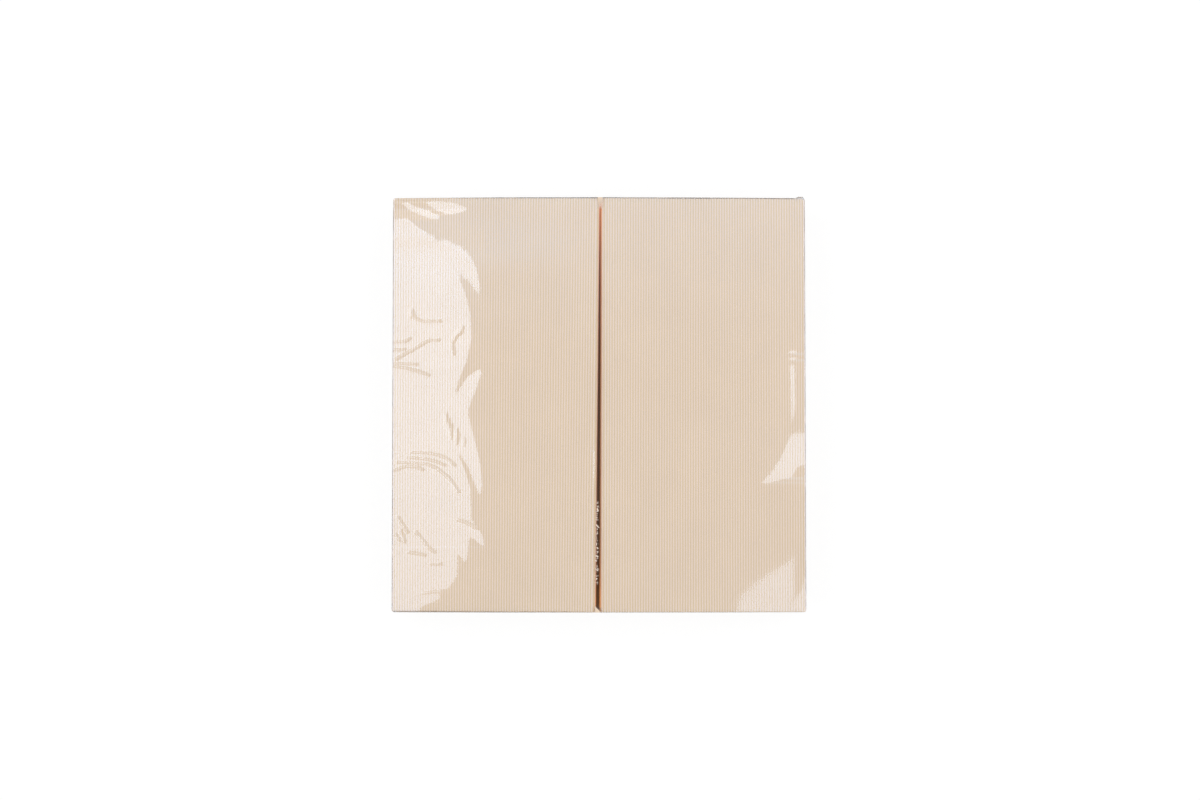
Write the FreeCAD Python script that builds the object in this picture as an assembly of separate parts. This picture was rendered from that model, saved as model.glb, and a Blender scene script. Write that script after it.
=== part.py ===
"""A pack of paper napkins in clear shrink film.

Every napkin is one square sheet of soft paper, folded three times into a slim book
of eight layers. The first fold closes one short end of the book. The second makes
the hem on the open long side. The third is the book fold, which turns round all the
other layers. The napkins lie in two equal stacks, side by side, with their book
folds facing each other across a narrow gap. A book fold is springier than an open
edge, so each stack is highest at the gap and slopes down to the outside of the
pack. The film is a tube round both stacks. Its long edges lap on the underside, its
two ends are sealed halfway up, and shrinking puckered it into these seals.

X runs across the two stacks, Y along the book folds and Z up. The origin is the
middle of the underside. Lengths are in millimetres and angles in degrees.
"""

import FreeCAD, Part
import math
import os

# The napkin
SHEET_SIDE = 400.0  # the square sheet, opened out
LAYER_AT_FOLD = 0.53  # height that one layer takes up at the book fold
LAYER_AT_HEM = 0.48  # height that one layer takes up at the open long side
LAYER_GAP = 0.06  # air between two layers of one napkin
COVER_SETBACK = 1.2  # how far the top layers stop short of the hem
LEAF_SETBACK = 0.4  # how far the layers under them do
FIRST_FOLD_ROUND = 0.35  # rounds off the short end that the first fold closes
FIRST_FOLD_FACETS = 2
OUTER_TURN_FACETS = 6  # flats round the outer turn of the book fold
INNER_TURN_FACETS = 4  # flats round the turn inside it, and round the hem

# The two stacks
NAPKINS_IN_STACK = 10
STACK_GAP = 1.7  # the mean width of the gap
LEFT_STACK_TURN = 0.29  # the left stack lies askew, so the gap widens to the front
NAPKIN_STRAY = 0.3  # how far a napkin lies out of line along its length
STRAY_STEP = 137.5  # spreads the strays, as an angle from one napkin to the next

# The film
FILM_GAUGE = 0.05
FILM_EASE = 0.3  # room over the stacks
FILM_DIP = 0.7  # how far the film sinks between the two book folds
FILM_EDGE_RADIUS = 0.6  # the film turns outward from the edges of the paper
FILM_EDGE_FACETS = 3
LAP_WIDTH = 4.0  # how far the film's long edges lap
SEAL_BULGE = 2.4  # how far the middle of a sealed end stands out
SEAL_WIDTH = 0.8  # the flat seam left where the end was sealed and trimmed
SEAL_GAUGE = 0.1  # two films welded together
EAR_REACH = 1.4  # a seam ends in an ear that stands out from the side of the pack
EAR_LENGTH = 4.0
PUCKER_DEPTH = 0.8
PUCKERS_PER_STACK = 4

# Follows from the sizes above
BOOK_WIDTH = SHEET_SIDE / 4
BOOK_LENGTH = SHEET_SIDE / 2
LAYERS = 8
SLIT_OVERRUN = 1.0  # how far the cutter of a slit runs past the paper


def layer_height(across):
    """The height of one layer at a distance across the book, counted from the hem."""
    share = across / BOOK_WIDTH
    return LAYER_AT_HEM + (LAYER_AT_FOLD - LAYER_AT_HEM) * share


def napkin_height(across):
    return LAYERS * layer_height(across) - LAYER_GAP


BOOK_BEND = BOOK_WIDTH - napkin_height(BOOK_WIDTH) / 2  # where the book fold starts to turn
HEM_BEND = 2 * layer_height(0) - LAYER_GAP / 2  # where the hem starts to turn


def flat_face(points):
    """A flat face through the points, or none where too few of them are apart."""
    corners = []
    for point in points:
        if all(point.distanceToPoint(other) > 1e-6 for other in corners):
            corners.append(point)
    if len(corners) < 3:
        return None
    return Part.Face(Part.makePolygon(corners + corners[:1]))


def skin(rings):
    """The flat faces between each ring of points and the next."""
    faces = []
    for ring, after in zip(rings, rings[1:]):
        for place in range(len(ring)):
            faces.append(flat_face([ring[place - 1], ring[place], after[place], after[place - 1]]))
    return faces


def closed_body(faces):
    shell = Part.Shell([face for face in faces if face])
    shell.sewShape()
    body = Part.Solid(shell)
    if body.Volume < 0:
        body.reverse()
    return body.removeSplitter()


def half_round(start, end, way, facets):
    """Points on half a circle from start to end, one above the other, bulging to one side."""
    radius = abs(end.z - start.z) / 2
    rise = math.copysign(1, end.z - start.z)
    middle = (start + end) / 2
    points = []
    for step in range(1, facets):
        angle = math.radians(180 * step / facets)
        out = way * radius * math.sin(angle)
        up = -rise * radius * math.cos(angle)
        points.append(middle + FreeCAD.Vector(out, 0, up))
    return points


def folded_outline(place, y, layers, extra, overrun):
    """The end view of a ribbon that follows the hem and the book fold.

    The four double layers lie 1, 3, 5 and 7 layers above the napkin below. The
    ribbon starts at the cover's free edge on top, turns round the book fold to the
    bottom, round the hem, round the book fold again inside the first turn, and ends
    at the leaf's free edge. It reaches to both sides of its middle by a number of
    layers and something extra, and overruns the two free edges.
    """
    stations = [
        (COVER_SETBACK - overrun, 7, 1),
        (BOOK_BEND, 7, 1),
        (BOOK_BEND, 1, -1),
        (HEM_BEND, 1, -1),
        (HEM_BEND, 3, 1),
        (BOOK_BEND, 3, 1),
        (BOOK_BEND, 5, -1),
        (LEAF_SETBACK - overrun, 5, -1),
    ]

    def one_side(side):
        points = []
        for across, layer, outward in stations:
            half = layers * layer_height(across) + extra
            height = place * napkin_height(across) + layer * layer_height(across) - LAYER_GAP / 2
            points.append(FreeCAD.Vector(across, y, height + side * outward * half))
        cover, book_top, book_low, hem_low, hem_top, leaf_low, leaf_top, leaf = points
        walk = [cover, book_top]
        walk += half_round(book_top, book_low, 1, OUTER_TURN_FACETS)
        walk += [book_low, hem_low]
        walk += half_round(hem_low, hem_top, -1, INNER_TURN_FACETS)
        walk += [hem_top, leaf_low]
        walk += half_round(leaf_low, leaf_top, 1, INNER_TURN_FACETS)
        walk += [leaf_top, leaf]
        return walk

    return one_side(1) + one_side(-1)[::-1]


def paper_ring(place, y, trim):
    return folded_outline(place, y, 1, -LAYER_GAP / 2 - trim, 0)


def folded_napkin(place):
    """A napkin of eight layers at its place in the stack, 0 being the lowest.

    Each double layer is split by a slit that runs in from the front and stops one
    layer short of the back, where the first fold closes it and rounds it off.
    """
    rings = [paper_ring(place, 0, 0)]
    for step in range(FIRST_FOLD_FACETS + 1):
        angle = math.radians(90 * step / FIRST_FOLD_FACETS)
        y = BOOK_LENGTH - FIRST_FOLD_ROUND * (1 - math.sin(angle))
        rings.append(paper_ring(place, y, FIRST_FOLD_ROUND * (1 - math.cos(angle))))
    paper = closed_body(skin(rings) + [flat_face(rings[0]), flat_face(rings[-1])])
    slit = flat_face(folded_outline(place, -SLIT_OVERRUN, 0, LAYER_GAP / 2, SLIT_OVERRUN))
    slit = slit.extrude(FreeCAD.Vector(0, SLIT_OVERRUN + BOOK_LENGTH - LAYER_AT_HEM, 0))
    napkin = paper.cut(slit)
    stray = NAPKIN_STRAY * math.sin(math.radians(STRAY_STEP * place))
    hem = -STACK_GAP / 2 - BOOK_WIDTH
    napkin.translate(FreeCAD.Vector(hem, stray - BOOK_LENGTH / 2, FILM_GAUGE))
    return napkin


def stack_of_napkins(middle, turn):
    """All napkins of the left stack, then turned about an upright line."""
    napkins = [folded_napkin(place) for place in range(NAPKINS_IN_STACK)]
    for napkin in napkins:
        napkin.rotate(middle, FreeCAD.Vector(0, 0, 1), turn)
    return napkins


def left_stack():
    """The left stack lies a little askew about its own middle."""
    middle = -STACK_GAP / 2 - BOOK_WIDTH / 2
    return stack_of_napkins(FreeCAD.Vector(middle, 0, 0), -LEFT_STACK_TURN)


def right_stack():
    """The right stack is turned half round, so its closed ends are at the front."""
    return stack_of_napkins(FreeCAD.Vector(0, 0, 0), 180)


# The film's reach, from the paper inside it
SWING = math.sin(math.radians(LEFT_STACK_TURN))
SIDE_BEND = STACK_GAP / 2 + BOOK_WIDTH + SWING * (BOOK_LENGTH / 2 + NAPKIN_STRAY)
END_BEND = BOOK_LENGTH / 2 + SWING * BOOK_WIDTH / 2 + NAPKIN_STRAY
BRIDGE_END = STACK_GAP / 2 + BOOK_WIDTH - BOOK_BEND  # the film spans the gap from here
TOP_AT_SIDE = 2 * FILM_GAUGE + NAPKINS_IN_STACK * napkin_height(0) + FILM_EASE
TOP_AT_BRIDGE = 2 * FILM_GAUGE + NAPKINS_IN_STACK * napkin_height(BOOK_BEND) + FILM_EASE
SEAL_HEIGHT = TOP_AT_SIDE / 2


def film_top(x):
    """The height of the film's top over a place across the pack."""
    distance = abs(x)
    if distance < BRIDGE_END:
        return TOP_AT_BRIDGE - FILM_DIP * (1 - distance / BRIDGE_END)
    share = (distance - BRIDGE_END) / (SIDE_BEND - BRIDGE_END)
    return TOP_AT_BRIDGE + (TOP_AT_SIDE - TOP_AT_BRIDGE) * share


def pucker_stations():
    """The places across the pack, from left to right, where a pucker starts or ends."""
    steps = 2 * PUCKERS_PER_STACK
    right = [BRIDGE_END + (SIDE_BEND - BRIDGE_END) * step / steps for step in range(steps + 1)]
    left = [-x for x in reversed(right)]
    return left + [0.0] + right


def rounded_corner(x, z, radius, first_angle):
    """The points of a quarter round between two sides of the film's end view."""
    points = []
    for step in range(FILM_EDGE_FACETS + 1):
        angle = math.radians(first_angle + 90 * step / FILM_EDGE_FACETS)
        points.append((x + radius * math.cos(angle), z + radius * math.sin(angle)))
    return points


def film_ring(y, cut):
    """One turn round the film, seen from the end and cut back by the same all round."""
    between = pucker_stations()[1:-1]
    radius = FILM_EDGE_RADIUS - cut
    wall = SIDE_BEND + radius
    low = FILM_EDGE_RADIUS
    high = TOP_AT_SIDE - FILM_EDGE_RADIUS
    points = [(x, cut) for x in between]
    points += rounded_corner(SIDE_BEND, low, radius, -90)
    points += [(wall, SEAL_HEIGHT)]
    points += rounded_corner(SIDE_BEND, high, radius, 0)
    points += [(x, film_top(x) - cut) for x in reversed(between)]
    points += rounded_corner(-SIDE_BEND, high, radius, 90)
    points += [(-wall, SEAL_HEIGHT)]
    points += rounded_corner(-SIDE_BEND, low, radius, 180)
    return [FreeCAD.Vector(x, y, z) for x, z in points]


def film_rings(inset):
    """Rings from the front end to the back, with both ends rounded off."""
    radius = FILM_EDGE_RADIUS - inset
    front = []
    back = []
    for step in range(FILM_EDGE_FACETS + 1):
        angle = math.radians(90 * step / FILM_EDGE_FACETS)
        y = END_BEND + radius * math.sin(angle)
        cut = inset + radius * (1 - math.cos(angle))
        back.append(film_ring(y, cut))
        front.insert(0, film_ring(-y, cut))
    return front + back


def seal_line(way, inset):
    """The puckered line of an end's seal, way being 1 at the back and -1 at the front."""
    stations = pucker_stations()
    points = []
    for place, x in enumerate(stations):
        bulge = SEAL_BULGE * (1 - (x / SIDE_BEND) ** 2)
        if 0 < place < len(stations) - 1:
            bulge += PUCKER_DEPTH / 2 * (-1) ** place
        y = END_BEND + FILM_EDGE_RADIUS - inset + bulge
        points.append(FreeCAD.Vector(x, way * y, SEAL_HEIGHT))
    return points


def sealed_end(way, inset):
    """The faces from the film's lower and upper edge to the seal."""
    seal = seal_line(way, inset)
    y = way * (END_BEND + FILM_EDGE_RADIUS - inset)
    low = [FreeCAD.Vector(point.x, y, FILM_EDGE_RADIUS) for point in seal]
    high = [FreeCAD.Vector(point.x, y, film_top(point.x) - FILM_EDGE_RADIUS) for point in seal]
    faces = []
    for place in range(1, len(seal)):
        for border in (low, high):
            faces.append(flat_face([border[place - 1], border[place], seal[place - 1]]))
            faces.append(flat_face([border[place], seal[place], seal[place - 1]]))
    return faces


def film_body(inset):
    """The closed body that the film wraps, or its inside where inset is the gauge."""
    return closed_body(skin(film_rings(inset)) + sealed_end(-1, inset) + sealed_end(1, inset))


def end_seam(way):
    """The flat seam that stands out along the seal of one end, with an ear at each side."""
    inner = seal_line(way, FILM_GAUGE)
    outer = [point + FreeCAD.Vector(0, way * (FILM_GAUGE + SEAL_WIDTH), 0) for point in inner]
    wall = SIDE_BEND + FILM_EDGE_RADIUS - FILM_GAUGE
    tip = SIDE_BEND + FILM_EDGE_RADIUS + EAR_REACH
    root = END_BEND - EAR_LENGTH
    right_ear = [
        FreeCAD.Vector(wall, way * root, SEAL_HEIGHT),
        FreeCAD.Vector(tip, way * END_BEND, SEAL_HEIGHT),
    ]
    left_ear = [FreeCAD.Vector(-point.x, point.y, point.z) for point in reversed(right_ear)]
    seam = flat_face(inner + right_ear + outer[::-1] + left_ear)
    seam = seam.extrude(FreeCAD.Vector(0, 0, SEAL_GAUGE))
    seam.translate(FreeCAD.Vector(0, 0, -SEAL_GAUGE / 2))
    return seam


def long_lap():
    """The second thickness of film under the gap, where the book folds leave room."""
    corner = FreeCAD.Vector(-LAP_WIDTH / 2, -END_BEND, 0)
    return Part.makeBox(LAP_WIDTH, 2 * END_BEND, 2 * FILM_GAUGE, corner)


def film():
    inside = film_body(FILM_GAUGE)
    seams = end_seam(-1).fuse(end_seam(1)).cut(inside)
    return film_body(0).cut(inside).fuse([seams, long_lap()]).removeSplitter()


os.makedirs("parts", exist_ok=True)
film().exportStep("parts/film_wrap.step")
for side, stack in (("left", left_stack()), ("right", right_stack())):
    for number, napkin in enumerate(stack, start=1):
        napkin.exportStep(f"parts/napkin_{side}_{number:02d}.step")
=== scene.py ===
# %% [markdown]
# # A pack of paper napkins in clear film
#
# The real thing is two stacks of soft paper napkins, side by side, in shrink film.
# Seen from above, three things make it: the fine pinstripes of the paper, the dark
# gap between the stacks, and the bright veil where the film mirrors a lamp.
#
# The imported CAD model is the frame. It says where each napkin and the film lie, and
# every mesh below takes its sizes from it.

# %% Load the frame
import math

import bmesh
import bpy
import numpy as np
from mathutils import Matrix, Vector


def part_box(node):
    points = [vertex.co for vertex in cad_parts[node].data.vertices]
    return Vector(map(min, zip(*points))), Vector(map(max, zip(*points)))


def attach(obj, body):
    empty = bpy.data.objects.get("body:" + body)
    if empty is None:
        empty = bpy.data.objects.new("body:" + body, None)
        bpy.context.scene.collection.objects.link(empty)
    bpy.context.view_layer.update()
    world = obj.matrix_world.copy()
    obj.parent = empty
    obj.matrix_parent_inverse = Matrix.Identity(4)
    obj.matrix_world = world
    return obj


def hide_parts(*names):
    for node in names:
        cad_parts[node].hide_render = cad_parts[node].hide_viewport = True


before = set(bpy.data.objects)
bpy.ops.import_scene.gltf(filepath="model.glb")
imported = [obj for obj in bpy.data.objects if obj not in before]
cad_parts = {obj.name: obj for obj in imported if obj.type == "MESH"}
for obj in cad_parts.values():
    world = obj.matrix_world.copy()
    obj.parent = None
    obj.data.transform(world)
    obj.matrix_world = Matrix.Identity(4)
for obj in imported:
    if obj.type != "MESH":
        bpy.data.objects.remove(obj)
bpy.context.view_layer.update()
MM = 0.001

# %% [markdown]
# ## Sizes from the frame
#
# The meshes are worked out in millimetres and scaled to metres at the end, because
# film and paper are thin and whole numbers are easier to read. The napkins of the
# right stack lie square to the pack, so their boxes give the sizes of a napkin.

# %% Sizes of napkins and film
NAPKINS = 10


def node_box(node):
    low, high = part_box(node)
    return np.array(low) / MM, np.array(high) / MM


lowest, first_top = node_box("napkin_right_01")
top_low, top_high = node_box(f"napkin_right_{NAPKINS:02d}")
_, film_high = node_box("film_wrap")
GAP = 2 * lowest[0]
BOOK_WIDTH = first_top[0] - lowest[0]
BOOK_LENGTH = first_top[1] - lowest[1]
BASE = lowest[2]
HEM_BEND = 0.93
UNDER_FILM = 0.12
COVER_SETBACK = 0.15
LEAF_SETBACK = 0.4
BOOK_BEND = BOOK_WIDTH - (first_top[2] - lowest[2]) / 2
HEIGHT_AT_HEM = (top_low[2] - BASE) / (NAPKINS - 1)
HEIGHT_AT_FOLD = (top_high[2] - BASE) / NAPKINS
LEFT_STACK_TURN = math.radians(0.29)
print("napkin, mm:", round(BOOK_WIDTH, 2), round(BOOK_LENGTH, 2), "gap", round(GAP, 2))
print("napkin height, mm:", round(HEIGHT_AT_HEM, 3), "to", round(HEIGHT_AT_FOLD, 3))

# %% [markdown]
# ## A mesh from numbers
#
# A folded sheet and a creased film are both grids of points with a rule for each
# point's place. numpy works out all points at once. This helper turns them into an
# object whose origin stays at zero, as the CAD nodes' origins do.

# %% Mesh helpers


def grid_quads(rows, columns, ring=False):
    """Corner numbers of the quads of a grid, joined up along its columns if it is a ring."""
    numbers = np.arange(rows * columns).reshape(rows, columns)
    after = np.roll(numbers, -1, axis=1)
    if not ring:
        numbers, after = numbers[:, :-1], after[:, :-1]
    corners = [numbers[:-1], after[:-1], after[1:], numbers[1:]]
    return np.stack(corners, axis=-1).reshape(-1, 4)


def new_object(name, data):
    obj = bpy.data.objects.new(name, data)
    bpy.context.collection.objects.link(obj)
    return obj


def mesh_object(name, points_mm, faces, uv=None):
    """A smooth object from points in millimetres; uv holds one pair for each point."""
    mesh = bpy.data.meshes.new(name)
    mesh.from_pydata((np.asarray(points_mm) * MM).tolist(), [], faces)
    if uv is not None:
        corners = np.empty(len(mesh.loops), dtype=np.int32)
        mesh.loops.foreach_get("vertex_index", corners)
        layer = mesh.uv_layers.new(name="UVMap")
        layer.data.foreach_set("uv", np.asarray(uv, dtype=np.float32)[corners].ravel())
    work = bmesh.new()
    work.from_mesh(mesh)
    bmesh.ops.recalc_face_normals(work, faces=work.faces)
    work.to_mesh(mesh)
    work.free()
    mesh.shade_smooth()
    return new_object(name, mesh)


def triangles(obj):
    return sum(len(face.vertices) - 2 for face in obj.data.polygons)


def smooth_step(value, low, high):
    share = np.clip((value - low) / (high - low), 0, 1)
    return share * share * (3 - 2 * share)


# %% [markdown]
# ## Lamps and camera geometry
#
# The film is nearly flat, so whether it mirrors a lamp depends on a degree or two of
# lean. Before the film can be shaped, the camera and the lamps need their places.
# The photograph looks straight down, a touch from the front, from about 1.2 m. Two
# softboxes hang level over the pack, one on each side.

# %% Places of camera and lamps
PHOTO_WIDTH, PHOTO_HEIGHT = 1200, 800
MM_PER_PIXEL = 0.4913
PACK_MIDDLE_PX = (599.0, 404.2)
CAMERA_DISTANCE = 1200.0
CAMERA_LEAN = math.radians(2.47)
TOP_LEVEL = film_high[2] - 2
CAMERA_PLACE = np.array([
    0.0,
    -CAMERA_DISTANCE * math.sin(CAMERA_LEAN),
    TOP_LEVEL + CAMERA_DISTANCE * math.cos(CAMERA_LEAN),
])
LAMP_LEVEL = 1400.0
LEFT_LAMP_X = (-950.0, -345.0)
LEFT_LAMP_Y = (-330.0, 620.0)
RIGHT_LAMP_X = (345.0, 950.0)
RIGHT_LAMP_Y = (-450.0, 450.0)


def on_pack(pixels):
    """Places on the pack's top, in millimetres, from pixels of the 1200 by 800 photograph."""
    spots = (np.asarray(pixels, dtype=float) - PACK_MIDDLE_PX) * [MM_PER_PIXEL, -MM_PER_PIXEL]
    farther = 1 + spots[:, 1] * math.sin(CAMERA_LEAN) / CAMERA_DISTANCE
    return spots * np.stack([farther, farther / math.cos(CAMERA_LEAN)], axis=-1)


def lean_that_mirrors(x, lamp_edge):
    """How steeply the film slopes outward where it just mirrors a lamp's inner edge."""
    to_camera = np.arctan2(np.abs(x), CAMERA_PLACE[2] - TOP_LEVEL)
    to_lamp = np.arctan2(abs(lamp_edge) - np.abs(x), LAMP_LEVEL - TOP_LEVEL)
    return np.tan((to_lamp - to_camera) / 2)


# %% [markdown]
# ## Where the film shines
#
# The bright veil on the left has a scalloped edge. Inside it the film leans far
# enough outward to mirror the lamp, and outside it doesn't quite. The outlines below
# were read off the photograph. A distance to an outline, softened over about
# a millimetre, gives the lean of the film, and the lean is summed to a height. Each
# outline comes with how fully it shines and how soft its edge is, in millimetres.

# %% Outlines of the shine, in pixels of the photograph
LEFT_VEIL_PX = [
    (380, 219), (407, 219), (419, 228), (436, 240), (458, 246), (468, 255), (476, 269), (481, 296),
    (470, 281), (448, 262), (458, 278), (465, 294), (470, 315), (471, 339), (466, 361), (458, 382),
    (454, 390), (456, 397), (468, 377), (480, 369), (481, 374), (474, 393), (467, 410), (471, 428),
    (479, 459), (482, 484), (480, 495), (473, 479), (469, 467), (454, 445), (464, 469), (470, 489),
    (471, 519), (482, 535), (486, 548), (473, 538), (469, 537), (467, 556), (465, 562), (457, 551),
    (457, 575), (449, 587), (438, 593), (440, 598), (421, 606), (414, 620), (380, 620),
]
TOP_STREAK_PX = [
    (400, 202), (408, 203), (419, 208), (430, 211.5), (439, 216), (439, 219), (428, 217), (413, 211),
]
TOP_DROP_PX = [(425, 202.5), (436, 201), (453, 203), (468, 209), (456, 213), (446, 214), (436, 209)]
RIGHT_PATCH_PX = [
    (820, 431), (790, 437), (785, 451), (776, 468), (761, 485),
    (781, 479), (792, 477), (797, 467), (820, 458),
]
RIGHT_GLINT_PX = [(790, 365), (795, 363), (796, 400), (794, 424), (791, 424)]
RIGHT_DASH_PX = [(788, 351), (797, 349.5), (798, 353), (789, 354)]
RIGHT_DASH_BELOW_PX = [(789, 357.5), (797, 356.5), (797, 359.5), (789, 360)]
RIGHT_CORNER_PX = [(797, 549), (786, 561), (771, 570), (754, 580), (737, 596), (731, 620), (797, 620)]
RIGHT_RIM_PX = [(809, 556), (806, 574), (801, 592), (795, 600), (788, 620), (820, 620), (820, 556)]
LEFT_SHINES = [(LEFT_VEIL_PX, 1, 0.7), (TOP_STREAK_PX, 1, 0.7), (TOP_DROP_PX, 1, 0.7)]
RIGHT_SHINES = [
    (RIGHT_PATCH_PX, 1, 0.7), (RIGHT_GLINT_PX, 0.6, 0.9), (RIGHT_DASH_PX, 0.6, 0.9),
    (RIGHT_DASH_BELOW_PX, 0.6, 0.9), (RIGHT_RIM_PX, 0.6, 1.5), (RIGHT_CORNER_PX, 0.47, 3.5),
]


def distance_to_piece(x, y, start, end):
    """Distance from every place to a straight piece of line."""
    (ax, ay), (bx, by) = start, end
    length = (bx - ax) ** 2 + (by - ay) ** 2
    share = np.clip(((x - ax) * (bx - ax) + (y - ay) * (by - ay)) / length, 0, 1)
    return np.hypot(x - ax - share * (bx - ax), y - ay - share * (by - ay))


def signed_distance(x, y, outline):
    """Distance to a closed outline, above zero inside it."""
    nearest = np.full(x.shape, 1e9)
    inside = np.zeros(x.shape, dtype=bool)
    for start, end in zip(outline, np.roll(outline, -1, axis=0)):
        nearest = np.minimum(nearest, distance_to_piece(x, y, start, end))
        crosses = (start[1] > y) != (end[1] > y)
        rise = np.where(crosses, end[1] - start[1], 1)
        inside ^= crosses & (x < start[0] + (y - start[1]) * (end[0] - start[0]) / rise)
    return np.where(inside, nearest, -nearest)


def shine(x, y, shines):
    """How fully the film shines: 0 outside all outlines, up to 1 inside them."""
    shares = []
    for pixels, share, softness in shines:
        distance = signed_distance(x, y, on_pack(pixels))
        shares.append(share * smooth_step(distance, -softness, softness))
    return np.max(shares, axis=0)


# %% [markdown]
# ## Creases
#
# Fine creases fan out from the left side. Each is a low, narrow ridge along a few
# points, read off like the outlines. Its two flanks lean away from the lamp and look dark.

# %% Crease lines, in pixels of the photograph
CREASES_PX = [
    [(391, 342), (405, 341), (409, 338)],
    [(395, 359), (405, 353), (415, 348), (424, 342), (431, 340), (438, 340)],
    [(391, 350), (404, 349)],
    [(394, 363), (416, 364)],
    [(392, 366), (406, 368), (417, 371), (428, 375)],
    [(408, 316), (422, 321), (440, 321)],
    [(411, 452), (428, 453), (438, 455), (446, 458), (454, 465)],
    [(407, 457), (425, 459), (434, 461), (444, 465)],
    [(396, 462), (415, 463), (426, 464), (436, 468), (445, 475), (451, 481), (458, 492)],
    [(394, 470), (405, 466), (417, 467), (422, 470)],
    [(415, 532), (422, 540), (427, 547), (434, 552)],
    [(408, 552), (424, 555)],
    [(430, 564), (440, 564)],
    [(397, 517), (404, 528), (407, 532)],
    [(394, 534), (400, 541)],
    [(400, 530), (404, 542)],
    [(457, 520), (465, 522), (476, 528)],
    [(445, 419), (451, 432), (457, 437), (464, 441)],
    [(462, 330), (456, 336), (452, 343), (453, 354)],
    [(423, 593), (441, 591)],
]
GAP_STREAK_PX = [[(592.5, 452), (592.2, 470), (591.5, 488), (590.8, 512)]]
CREASE_HEIGHT = 0.3
CREASE_HALF_WIDTH = 0.4
GAP_STREAK_HEIGHT = 0.13
GAP_STREAK_HALF_WIDTH = 0.7


def crease_height(x, y, lines, height, half_width):
    total = np.zeros(x.shape)
    for pixels in lines:
        line = on_pack(pixels)
        nearest = np.min([distance_to_piece(x, y, *piece) for piece in zip(line, line[1:])], axis=0)
        total = np.maximum(total, height * np.exp(-((nearest / half_width) ** 2)))
    return total


# %% [markdown]
# ## The film's top
#
# The grid of the top has its rows and columns close together where the film is
# creased and far apart where it is smooth. The height starts at the gap, where the
# film is highest, and falls outward by the lean. The inner part of each side is
# nearly level. The outer part, where the shine is, leans by the lamp's threshold
# and a small margin: more inside an outline and less outside it. A narrow step at
# the rim keeps the bend over the edge from shading the flat top.

# %% Grid of the film's top
FILM_EDGE_RADIUS = 0.35
SIDE_BEND = film_high[0] - 2.0
END_BEND = film_high[1] - 3.1
FILM_ROOM = 0.3
FILM_GAUGE = 0.05
BRIDGE_HALF = 2.94
LEFT_SHINE_START = 56.0
RIGHT_SHINE_START = 62.0
LEAN_INSIDE = 0.016
LEAN_OUTSIDE = 0.009
ROW_SMOOTHING = 9.0
RIM_STEP = 0.22
LOWEST_UNDER_PAPER = 0.45
GAP_DIP = 0.18
GAP_DIP_REACH = 3.2


def stations(*stretches):
    """Stations from stretches of (start, end, step)."""
    values = []
    for start, end, step in stretches:
        count = max(int(round((end - start) / step)), 1)
        values.extend(np.linspace(start, end, count, endpoint=False))
    values.append(stretches[-1][1])
    return np.array(values)


top_x = stations(
    (-SIDE_BEND, -SIDE_BEND + RIM_STEP, RIM_STEP),
    (-SIDE_BEND + RIM_STEP, -LEFT_SHINE_START, 0.62),
    (-LEFT_SHINE_START, -6, 7), (-6, -3, 0.6), (-3, 3, 0.55), (3, RIGHT_SHINE_START, 8.4),
    (RIGHT_SHINE_START, 88, 2.2), (88, SIDE_BEND - RIM_STEP, 0.9),
    (SIDE_BEND - RIM_STEP, SIDE_BEND, RIM_STEP),
)
top_y = stations(
    (-END_BEND, -END_BEND + RIM_STEP, RIM_STEP), (-END_BEND + RIM_STEP, -93.5, 1.3),
    (-93.5, -90.5, 0.4), (-90.5, -80, 1.3), (-80, -54, 0.38), (-54, -44, 1.7),
    (-44, -21, 0.34), (-21, 12, 2.5), (12, 34, 0.36), (34, 39.5, 1.5), (39.5, 43, 0.36),
    (43, 84, 2.6), (84, END_BEND - RIM_STEP, 0.72), (END_BEND - RIM_STEP, END_BEND, RIM_STEP),
)
print("film top grid:", len(top_x), "by", len(top_y))


def paper_plane(x):
    """Height of the paper's top under a place across the pack."""
    across = BOOK_WIDTH + GAP / 2 - np.abs(x)
    share = (np.minimum(across, BOOK_BEND) - HEM_BEND) / (BOOK_BEND - HEM_BEND)
    return BASE + NAPKINS * (HEIGHT_AT_HEM + (HEIGHT_AT_FOLD - HEIGHT_AT_HEM) * share)


def row_average(values):
    """Values by row of the grid, smoothed along the pack."""
    weights = np.exp(-(((top_y[:, None] - top_y[None, :]) / ROW_SMOOTHING) ** 2))
    weights = weights * np.gradient(top_y)[None, :]
    return weights @ values / weights.sum(axis=1)


def side_heights(outward, y, shine_share, start, lamp_edge):
    """Height of one side of the film; outward is the distance from the middle, rising by column."""
    lean = lean_that_mirrors(outward, lamp_edge)
    lean = lean - LEAN_OUTSIDE + (LEAN_INSIDE + LEAN_OUTSIDE) * shine_share
    lean = np.where(outward < start, 0, lean)
    steps = np.diff(outward, axis=0) * (lean[1:] + lean[:-1]) / 2
    lost = np.concatenate([np.zeros((1, lean.shape[1])), np.cumsum(steps, axis=0)])
    highest = paper_plane(BRIDGE_HALF) + FILM_ROOM
    lowest = paper_plane(SIDE_BEND) + FILM_ROOM
    inner_lean = (highest - lowest - row_average(lost[-1])) / (start - BRIDGE_HALF)
    inner = np.clip(outward - BRIDGE_HALF, 0, start - BRIDGE_HALF) * inner_lean[None, :]
    return highest - inner - lost


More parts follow.
